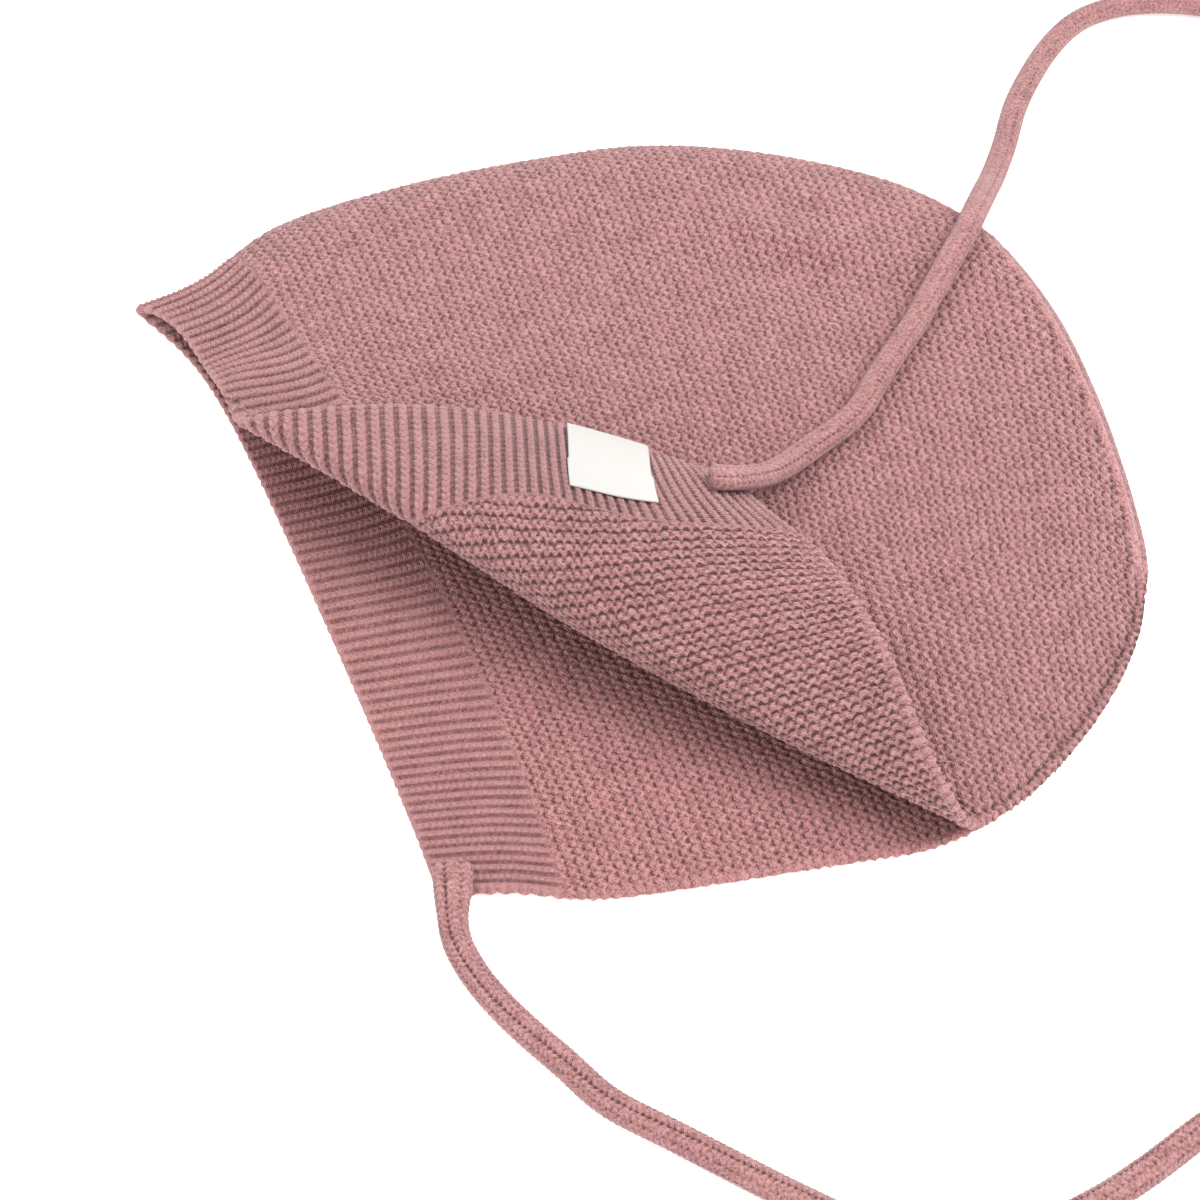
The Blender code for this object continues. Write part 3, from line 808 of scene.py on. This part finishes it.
def rounded_off(gap):
    """Share of the cloth's thickness that is left at a distance from a free edge."""
    return np.sqrt(np.clip(1 - np.clip(1 - gap / EDGE_ROUND, 0, 1) ** 2, 0.04, 1))


def first_corners(rows, cols):
    """Number of the first point of each face in a grid of points."""
    return (np.arange(rows - 1)[:, None] * cols + np.arange(cols - 1)[None]).ravel()


def round_the_rim(rows, cols):
    """Row and column of each point on the rim of a grid, once round."""
    there = [(i, 0) for i in range(rows)] + [(rows - 1, j) for j in range(1, cols)]
    back = [(i, cols - 1) for i in range(rows - 2, -1, -1)] + [(0, j) for j in range(cols - 2, 0, -1)]
    return there + back


def cloth_piece(name, c_lines, w_lines, fine, pace=3, free=(), upper=False):
    """Closed piece of cloth: full stitches on its fine side, wider faces on the other.

    fine is 1 for the wearer's side and -1 for the outside. free names the edges where
    the cloth ends, which are rounded and get the nubs of the edge stitches.
    """
    rows, cols = w_lines.shape
    grid_c = np.repeat(c_lines[:, None], cols, axis=1)
    here, face = cloth_and_face(grid_c, w_lines)
    place = knitted_place(grid_c, w_lines)
    values = knit_counts(place)
    _, width = plan_point(grid_c, np.zeros_like(grid_c))
    share = np.minimum(FOLD_REACH, 0.6 * width) / width
    to_neck = (1 - np.abs(w_lines)) * width * (1 - share) / (1 - NOSE)
    to_front = (grid_c + 1) * BAND_WIDTH
    values["rib"] = rib_count(w_lines)
    values["course"] = to_front / RIB_COURSE
    wavy = EXTRA_RIDGES_AT + 2.0 * np.sin(place[..., 0] / 7.0) + 1.2 * np.sin(place[..., 0] / 2.9)
    values["more_ridges"] = smooth((place[..., 1] - wavy) / 1.6 + 0.5)
    values["welt"] = np.zeros_like(grid_c)
    calm = smooth(0.25 + np.abs(grid_c) * BAND_WIDTH * (1 if c_lines[0] < 0 else 6) / 1.3)
    out_neck = np.gradient(here, axis=1) * np.sign(w_lines)[..., None]
    out_front = -np.gradient(here, axis=0)
    half = np.full(grid_c.shape, CLOTH_THICK / 2)
    nub = np.zeros_like(grid_c)
    if upper:
        here = here + np.array([0, 0, 1.0]) * soft_swell(here)[..., None]
        values["welt"], beside, chain = back_seam(here)
        calm = calm * beside
        nub = 0.45 * chain
    if "neck" in free:
        out = out_neck / np.linalg.norm(out_neck, axis=-1)[..., None]
        if not upper:
            turn = values["ridge_low"] if c_lines[-1] > 0 else to_front / 2.4
            nub = 0.32 * np.cos(TAU * turn)
            rim = np.exp(-(to_neck / 1.9) ** 4)
            values["welt"] = rim * (0.35 + 0.35 * np.cos(TAU * turn))
            calm = calm * (1 - 0.75 * rim)
        here = here + out * (nub * np.exp(-to_neck / NUB_REACH))[..., None]
        half = half * rounded_off(to_neck)
        calm = calm * np.clip(to_neck, 0, 1)
    if "front" in free:
        out = out_front / np.linalg.norm(out_front, axis=-1)[..., None]
        nub = 0.18 * np.cos(TAU * values["rib"])
        here = here + out * (nub * np.exp(-to_front / NUB_REACH))[..., None]
        half = half * rounded_off(to_front)
        rim = np.exp(-(to_front / 0.9) ** 4)
        values["welt"] = values["welt"] + rim * (0.2 + 0.35 * np.cos(TAU * values["rib"]))
        calm = calm * (1 - rim)
    values["calm"] = calm
    fine_points = (here + face * fine * half[..., None] - BONNET_MIDDLE).reshape(-1, 3)
    rough_points = (here - face * fine * half[..., None] - BONNET_MIDDLE)[::pace, ::pace]
    small_rows, small_cols = rough_points.shape[:2]
    count = rows * cols
    k = first_corners(rows, cols)
    quads = np.stack([k, k + cols, k + cols + 1, k + 1], 1)
    k = first_corners(small_rows, small_cols) + count
    rough = np.stack([k, k + 1, k + small_cols + 1, k + small_cols], 1)
    ring = round_the_rim(rows, cols)
    joined = []
    for start in range(0, len(ring), pace):
        steps = [ring[(start + n) % len(ring)] for n in range(pace + 1)]
        a, b = (count + steps[n][0] // pace * small_cols + steps[n][1] // pace for n in (0, pace))
        full = [i * cols + j for i, j in steps]
        joined += [(p, a, q) for p, q in zip(full, full[1:])] + [(full[-1], a, b)]
    faces = quads.tolist() + rough.tolist() + joined
    mesh = mesh_of(name, np.concatenate([fine_points, rough_points.reshape(-1, 3)]),
                   faces if fine == 1 else [f[::-1] for f in faces])
    ends = np.zeros(len(mesh.edges) * 2, int)
    mesh.edges.foreach_get("vertices", ends)
    on_ring = np.zeros(len(mesh.vertices), bool)
    on_ring[[i * cols + j for i, j in ring]] = True
    layer = mesh.attributes.new("sharp_edge", "BOOLEAN", "EDGE")
    layer.data.foreach_set("value", on_ring[ends.reshape(-1, 2)].all(axis=1))
    for key, value in values.items():
        give(mesh, key, np.r_[value.ravel(), value[::pace, ::pace].ravel()])
    outward = face * fine
    both = np.r_[outward.reshape(-1, 3), -outward[::pace, ::pace].reshape(-1, 3)]
    give(mesh, "outward", both, "FLOAT_VECTOR")
    return show(name, mesh)


def garter(ridge, stitch):
    """Rows of loops whose line swings to and fro, with a hole beside each loop."""
    swing = (ridge + stitch.cos() * 0.17).cos()
    return swing * 0.50 + ridge.cos() * stitch.cos() * 0.48 - (ridge * 2).cos() * 0.16


def garter_height(tree):
    stitch = field(tree, "stitch")
    low = garter(field(tree, "ridge_low"), stitch)
    high = garter(field(tree, "ridge_high"), stitch)
    return (low + (high - low) * field(tree, "more_ridges")) * field(tree, "calm") + field(tree, "welt")


def garter_strand(tree):
    """Fine lines of the strands, which follow the loops."""
    bend = field(tree, "stitch").cos() * 0.17
    low, high = (((field(tree, name) + bend) * 4).cos() for name in ("ridge_low", "ridge_high"))
    return low + (high - low) * field(tree, "more_ridges")


def fan(c_lines, start, end, steps):
    """One row of shares for each line of c, from start to end, which may change with c."""
    start = np.broadcast_to(start, c_lines.shape)
    end = np.broadcast_to(end, c_lines.shape)
    t = np.linspace(0, 1, steps + 1)
    return start[:, None] + (end - start)[:, None] * t


FOLD_BACK = 0.15        # share of the lower half that belongs to the pieces round the fold
TURNED_TO = 0.5645
LOWER_OPEN_TO = 0.62
SEEN_UNDER_FOLD = 0.12
CROWN_RELIEF = 0.42
TURNED_RELIEF = 0.52
UPPER_PARTS = (
    # from, to, lines, steps from the fold to the edge
    (0.00, 0.30, 156, 198),
    (0.30, 0.56, 138, 276),
    (0.56, 0.80, 126, 282),
    (0.80, 1.00, 102, 162),
)
garter_tree = relief_tree("garter_stitches", garter_height)
garter_wool = wool_material("garter_knit", garter_height, garter_strand, depth=0.45,
                            gap_shade=0.64, light=0.72)
# Painted light: the turned corner's copy of the same wool is lighter, with deeper painted shade in its
# gaps, for the low light that falls across the rolled corner.
turned_wool_lit = wool_material("garter_knit_inside_out", garter_height, garter_strand, depth=0.45,
                            gap_shade=1.00, light=0.77)
# Painted light: the lower half's copy of the same wool is lighter and redder, a painted bounce light in the
# hollow, with deeper painted shade in its gaps.
inside_wool_bounce_lit = wool_material("garter_knit_inside", garter_height, garter_strand, depth=0.45,
                            gap_shade=0.75, light=0.78, painted_bounce_tint=0.92)
crown_pieces = []

# Outside of the upper half, in four pieces from the band to the nape
for number, (c0, c1, c_steps, w_steps) in enumerate(UPPER_PARTS, 1):
    c_lines = np.linspace(c0, c1, c_steps + 1)
    until = fold_line_at(c_lines) if c1 <= 0.56 else 1.0
    w_lines = np.c_[fan(c_lines, -FOLD_BACK, NOSE, 69)[:, :-1], fan(c_lines, NOSE, until, w_steps)]
    free_edges = ("neck",) if c1 > 0.56 else ()
    crown_pieces.append(cloth_piece(f"crown_upper_{number}", c_lines, w_lines, -1, free=free_edges,
                                    upper=True))

# Wearer's side of the corner that is rolled back
c_lines = np.linspace(0.0, TURNED_TO, 262)
crown_pieces.append(cloth_piece("crown_turned", c_lines, fan(c_lines, fold_line_at(c_lines), 1.0, 201), 1,
                                free=("neck",)))

# Lower half: its open part in full stitches, the rest of it plainer
c_lines = np.linspace(0.0, LOWER_OPEN_TO, 253)
open_to = -np.clip(fold_line_at(c_lines) - SEEN_UNDER_FOLD, NOSE + 0.05, 0.9)
crown_pieces.append(cloth_piece("crown_lower_open", c_lines, fan(c_lines, -1.0, open_to, 231), 1,
                                free=("neck",)))
c_lines = np.linspace(0.0, LOWER_OPEN_TO, 127)
open_to = -np.clip(fold_line_at(c_lines) - SEEN_UNDER_FOLD, NOSE + 0.05, 0.9)
crown_pieces.append(cloth_piece("crown_lower_hidden", c_lines, fan(c_lines, open_to, -FOLD_BACK, 90), 1,
                                pace=2))
c_lines = np.linspace(LOWER_OPEN_TO, 1.0, 121)
crown_pieces.append(cloth_piece("crown_lower_back", c_lines, fan(c_lines, -1.0, -FOLD_BACK, 120), 1, pace=2,
                                free=("neck",)))
for piece in crown_pieces:
    if piece.name == "crown_turned":
        knit(piece, garter_tree, TURNED_RELIEF, turned_wool_lit)
    else:
        knit(piece, garter_tree, CROWN_RELIEF, inside_wool_bounce_lit if "lower" in piece.name else garter_wool)
    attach(piece, "root")
    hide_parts("crown")


# ---- The front band ----
# A ribbed strip 28 mm wide round the face opening, knitted on at right angles to the
# ridges of the crown: one knit column and one purl column in turn.

RIB_RELIEF = 0.50


def rib_height(tree):
    """Columns of V stitches, each with two rows of legs and a wide deep valley to the next."""
    across = field(tree, "rib").saw() * 2
    off_leg = across - 0.30
    leg = (field(tree, "course") + across * 0.85).cos()
    wall = ((across - 0.42) * 3.0).limit(0.0, 1.0)
    wall = wall * wall * (3 - wall * 2)
    column = 0.62 - (off_leg * off_leg * 4.6).limit(0.0, 0.6) + leg * 0.52
    return (column + wall * (leg * -0.35 - 1.05)) * field(tree, "calm") + field(tree, "welt")


def rib_strand(tree):
    """Fine lines of the strands, which follow the legs of the V stitches."""
    return ((field(tree, "course") + field(tree, "rib").saw() * 1.7) * 3).cos()


rib_tree = relief_tree("rib_stitches", rib_height)
rib_wool = wool_material("rib_knit", rib_height, rib_strand, depth=0.5,
                         gap_shade=0.58, light=0.84, grain=1.0)
# Painted light: the lower band's copy of the same rib is redder, a painted bounce light in the hollow, with
# shallower painted shade in its valleys.
inside_rib_wool_bounce_lit = wool_material("rib_knit_inside", rib_height, rib_strand, depth=0.5,
                                gap_shade=0.44, light=0.83, painted_bounce_tint=0.92, grain=1.0)
c_lines = np.linspace(-1.0, 0.0, 58)
until = fold_line_at(c_lines)
w_lines = np.c_[fan(c_lines, -FOLD_BACK, NOSE, 72)[:, :-1], fan(c_lines, NOSE, until, 135)]
band_pieces = [
    cloth_piece("band_upper", c_lines, w_lines, -1, free=("front",)),
    cloth_piece("band_turned", c_lines, fan(c_lines, until, 1.0, 300), 1, free=("front", "neck")),
    cloth_piece("band_lower", c_lines, fan(c_lines, -1.0, -FOLD_BACK, 420), 1, free=("front", "neck")),
]
for piece in band_pieces:
    knit(piece, rib_tree, RIB_RELIEF, inside_rib_wool_bounce_lit if piece.name == "band_lower" else rib_wool)
    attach(piece, "root")
    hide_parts("front_band")


# ---- The label ----
# A bare white woven tape, folded over the free edge of the turned corner and caught
# in it, one leaf on each face of the band. The lower part of the leaf is a hem.

LABEL_FOLD = (0.784, 0.895)         # shares along the band of the fold's two ends
LABEL_FOOT = (0.7795, 0.8755)       # and of the two lower corners
LABEL_FOOT_AT = (-0.160, -0.195)
LABEL_HEM = 0.62
LABEL_THICK = 0.35
LABEL_OFF = 1.50
LABEL_LIP = 0.55        # how far the fold stands ahead of the free edge
LABEL_COLS = 45
LABEL_ROWS = 46
WARP_THREADS = 2.6      # in each millimetre
WEFT_THREADS = 3.4
t, deep = np.meshgrid(np.linspace(0, 1, LABEL_COLS), np.linspace(0, 1, LABEL_ROWS))
hem = 0.018 * smooth((deep - LABEL_HEM) / 0.02)
t_wide = t + hem * (2 * t - 1)
c_here = -1 + deep * (LABEL_FOOT_AT[0] + (LABEL_FOOT_AT[1] - LABEL_FOOT_AT[0]) * t + 1)
fold_w = LABEL_FOLD[0] + (LABEL_FOLD[1] - LABEL_FOLD[0]) * t_wide
foot_w = LABEL_FOOT[0] + (LABEL_FOOT[1] - LABEL_FOOT[0]) * t_wide
here, face = cloth_and_face(c_here, fold_w + (foot_w - fold_w) * deep)
lift = (LABEL_OFF + 6 * hem)[..., None]
front_leaf, back_leaf = here + face * lift, here - face * lift
inner, _ = cloth_and_face(np.full(LABEL_COLS, -0.95), fold_w[0])
ahead = here[0] - inner
ahead -= face[0] * (ahead * face[0]).sum(-1)[:, None]
ahead /= np.linalg.norm(ahead, axis=-1)[:, None]
round_edge = [here[0] + LABEL_OFF * face[0] * math.cos(a) + LABEL_LIP * ahead * math.sin(a)
              for a in np.radians(np.arange(12, 180, 12))]
leaf = np.concatenate([back_leaf[::-1], np.array(round_edge)[::-1], front_leaf])
flat = np.cross(np.gradient(leaf, axis=0), np.gradient(leaf, axis=1))
flat /= np.linalg.norm(flat, axis=-1)[..., None]
sides = [(leaf + flat * s * LABEL_THICK / 2 - BONNET_MIDDLE).reshape(-1, 3) for s in (1, -1)]
n_rows, n_cols = leaf.shape[:2]
count = n_rows * n_cols
k = first_corners(n_rows, n_cols)
faces = np.stack([k, k + n_cols, k + n_cols + 1, k + 1], 1).tolist()
faces += np.stack([k + count, k + count + 1, k + count + n_cols + 1, k + count + n_cols], 1).tolist()
ring = [i * n_cols + j for i, j in round_the_rim(n_rows, n_cols)]
faces += [(p, count + p, count + q, q) for p, q in zip(ring, ring[1:] + ring[:1])]
label = show("label_tape", mesh_of("label_tape", np.concatenate(sides), faces))
warp, weft = np.meshgrid(np.linspace(0, 22, n_cols), np.linspace(0, 46, n_rows))
give(label.data, "warp", np.tile(warp.ravel(), 2))
give(label.data, "weft", np.tile(weft.ravel(), 2))
tape, shader = plain_material("white_tape_weave", (0.66, 0.655, 0.64), 0.8)
tree = tape.node_tree
weave = (field(tree, "warp") * WARP_THREADS).cos() * (field(tree, "weft") * WEFT_THREADS).cos()
tape_white = ((0.0, (0.47, 0.465, 0.45)), (1.0, (0.66, 0.65, 0.63)))
cream = Wire(tree).node("ShaderNodeValToRGB", {"stops": tape_white}, {"Fac": weave * 0.35 + 0.6})
tree.links.new(cream.socket, shader.inputs["Base Color"])
bump = Wire(tree).node("ShaderNodeBump", None, {"Height": weave, "Distance": 0.00006, "Strength": 0.6})
tree.links.new(bump.socket, shader.inputs["Normal"])
label.data.materials.append(tape)
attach(label, "root")
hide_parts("label")
